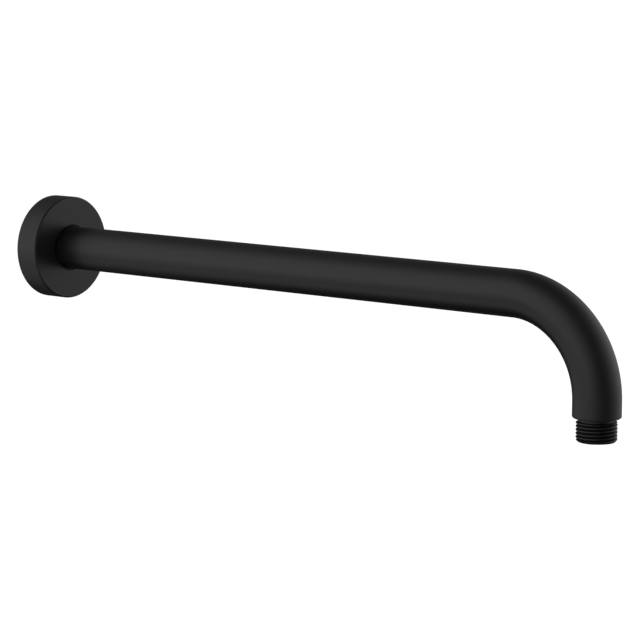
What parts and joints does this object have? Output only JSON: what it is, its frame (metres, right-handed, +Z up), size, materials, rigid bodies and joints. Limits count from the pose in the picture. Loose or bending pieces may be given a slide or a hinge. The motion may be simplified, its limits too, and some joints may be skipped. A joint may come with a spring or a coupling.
{
  "type": "shower arm",
  "caption": "Wall-mounted shower arm: a straight round tube turned down at its outer end, with a threaded inlet and outlet and a round cover flange that slides on the tube.",
  "frame": {"origin": "on the arm's axis in the plane of the finished wall, at the centre of the cover flange's rear rim", "axes": "+X out of the wall along the arm, +Z up, the outlet pointing down"},
  "size_m": [0.4055, 0.06, 0.1005],
  "materials": {
    "satin_black": "satin black coat on brass",
    "black_rubber": "dull moulded rubber"
  },
  "bodies": {
    "arm": {"arm_tube": "satin_black", "outlet_nipple": "satin_black", "inlet_nipple": "satin_black"},
    "flange": {"wall_flange": "satin_black", "grip_ring": "black_rubber"}
  },
  "joints": [
    {"name": "flange_slide", "type": "slide", "parent": "arm", "child": "flange", "axis": [1, 0, 0], "range_m": [0, 0.31]}
  ]
}
